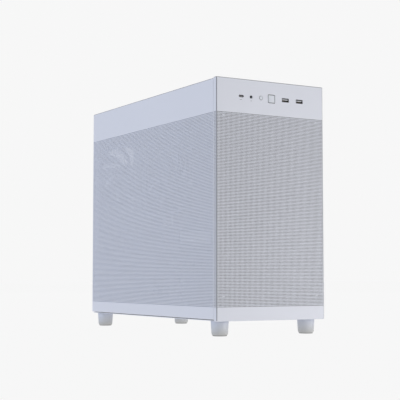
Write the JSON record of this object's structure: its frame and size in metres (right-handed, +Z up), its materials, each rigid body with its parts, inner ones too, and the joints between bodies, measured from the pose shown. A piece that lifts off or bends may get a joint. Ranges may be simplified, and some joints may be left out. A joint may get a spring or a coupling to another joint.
{
  "type": "desktop computer tower",
  "caption": "Upright desktop computer in a steel case with finely perforated lift-off panels, front ports and buttons, round feet, and a complete computer inside.",
  "frame": {"origin": "on the ground under the middle of the whole machine", "axes": "+X from the left side panel to the right one, +Y from the front panel to the rear, +Z up"},
  "size_m": [0.205, 0.4666, 0.405],
  "materials": {
    "panel_paint": "fine satin powder coat",
    "rack_paint": "satin powder coat",
    "inner_paint": "satin powder coat",
    "button_plastic": "satin moulded plastic",
    "foot_plastic": "fine grain moulded plastic",
    "pad_rubber": "matt rubber",
    "clip_plastic": "moulded nylon",
    "stud_metal": "zinc plated",
    "standoff_brass": "turned brass",
    "port_metal": "nickel plated",
    "black_plastic": "moulded plastic",
    "fan_plastic": "moulded plastic",
    "board_laminate": "dark solder mask",
    "bare_aluminium": "extruded and stamped",
    "bright_wire": "plated wire",
    "supply_paint": "textured black coat",
    "cable_sleeve": "matt flexible sleeve",
    "light_pipe": "clear moulded plastic"
  },
  "bodies": {
    "case": {"audio_jack": "black_plastic", "board_heatsinks": "bare_aluminium", "board_sockets": "black_plastic", "chassis_base": "inner_paint", "cooler_fan_frame": "fan_plastic", "cooler_heatsink": "bare_aluminium", "drive_light": "light_pipe", "foot_front_left": "foot_plastic", "foot_front_right": "foot_plastic", "foot_pads": "pad_rubber", "foot_rear_left": "foot_plastic", "foot_rear_right": "foot_plastic", "front_frame": "inner_paint", "front_io_bezel": "black_plastic", "front_io_board": "board_laminate", "front_panel_cable": "cable_sleeve", "graphics_board": "board_laminate", "graphics_bracket": "port_metal", "graphics_heatsink": "bare_aluminium", "graphics_shroud": "black_plastic", "inlet_lead": "cable_sleeve", "lead_plug": "black_plastic", "main_power_cable": "cable_sleeve", "memory_modules": "bare_aluminium", "motherboard": "board_laminate", "motherboard_screws": "stud_metal", "motherboard_standoffs": "standoff_brass", "motherboard_tray": "inner_paint", "panel_sockets": "clip_plastic", "power_connector": "black_plastic", "power_inlet": "black_plastic", "power_supply_bracket": "inner_paint", "power_supply_guard": "bright_wire", "power_supply_housing": "supply_paint", "rear_fan_frame": "fan_plastic", "rear_fan_guard": "bright_wire", "rear_io_ports": "black_plastic", "rear_panel": "rack_paint", "slot_covers": "rack_paint", "solid_state_drive": "board_laminate", "thumb_screws": "stud_metal", "top_frame": "inner_paint", "usb_a_ports": "port_metal", "usb_c_port": "port_metal"},
    "left_panel": {"left_side_panel": "panel_paint", "left_panel_studs": "stud_metal"},
    "right_panel": {"right_side_panel": "panel_paint", "right_panel_studs": "stud_metal"},
    "front_cover": {"front_panel": "panel_paint", "front_panel_studs": "stud_metal"},
    "top_cover": {"top_panel": "panel_paint", "top_panel_studs": "stud_metal"},
    "power_key": {"power_button": "button_plastic"},
    "reset_key": {"reset_button": "button_plastic"},
    "rear_rotor": {"rear_fan_rotor": "fan_plastic"},
    "cooler_rotor": {"cooler_fan_rotor": "fan_plastic"},
    "graphics_rotor_rear": {"graphics_fan_rotor_2": "fan_plastic"},
    "graphics_rotor_front": {"graphics_fan_rotor_1": "fan_plastic"},
    "supply_rotor": {"power_supply_fan_rotor": "fan_plastic"},
    "supply_rocker": {"power_supply_switch": "fan_plastic"}
  },
  "joints": [
    {"name": "left_panel_pull", "type": "slide", "parent": "case", "child": "left_panel", "axis": [-1, 0, 0], "range_m": [0, 0.12]},
    {"name": "right_panel_pull", "type": "slide", "parent": "case", "child": "right_panel", "axis": [1, 0, 0], "range_m": [0, 0.12]},
    {"name": "front_panel_pull", "type": "slide", "parent": "case", "child": "front_cover", "axis": [0, -1, 0], "range_m": [0, 0.12]},
    {"name": "top_panel_lift", "type": "slide", "parent": "case", "child": "top_cover", "axis": [0, 0, 1], "range_m": [0, 0.12]},
    {"name": "power_button_press", "type": "slide", "parent": "case", "child": "power_key", "axis": [0, 1, 0], "range_m": [0, 0.0015], "stiffness_N_per_m": 600, "springref_m": -0.0008},
    {"name": "reset_button_press", "type": "slide", "parent": "case", "child": "reset_key", "axis": [0, 1, 0], "range_m": [0, 0.0015], "stiffness_N_per_m": 400, "springref_m": -0.0008},
    {"name": "rear_fan_spin", "type": "hinge", "parent": "case", "child": "rear_rotor", "pos_m": [-0.0355, 0.21275, 0.2885], "axis": [0, 1, 0], "continuous": true},
    {"name": "cooler_fan_spin", "type": "hinge", "parent": "case", "child": "cooler_rotor", "pos_m": [-0.012, 0.07675, 0.2685], "axis": [0, 1, 0], "continuous": true},
    {"name": "graphics_fan_spin_front", "type": "hinge", "parent": "case", "child": "graphics_rotor_front", "pos_m": [0.006, 0.06675, 0.1455], "axis": [0, 0, 1], "continuous": true},
    {"name": "graphics_fan_spin_rear", "type": "hinge", "parent": "case", "child": "graphics_rotor_rear", "pos_m": [0.006, 0.15875, 0.1455], "axis": [0, 0, 1], "continuous": true},
    {"name": "supply_fan_spin", "type": "hinge", "parent": "case", "child": "supply_rotor", "pos_m": [-0.01, -0.19325, 0.2715], "axis": [0, 1, 0], "continuous": true},
    {"name": "supply_switch_rock", "type": "hinge", "parent": "case", "child": "supply_rocker", "pos_m": [-0.03, -0.16825, 0.2075], "axis": [0, 1, 0], "range_deg": [-14, 0]}
  ]
}
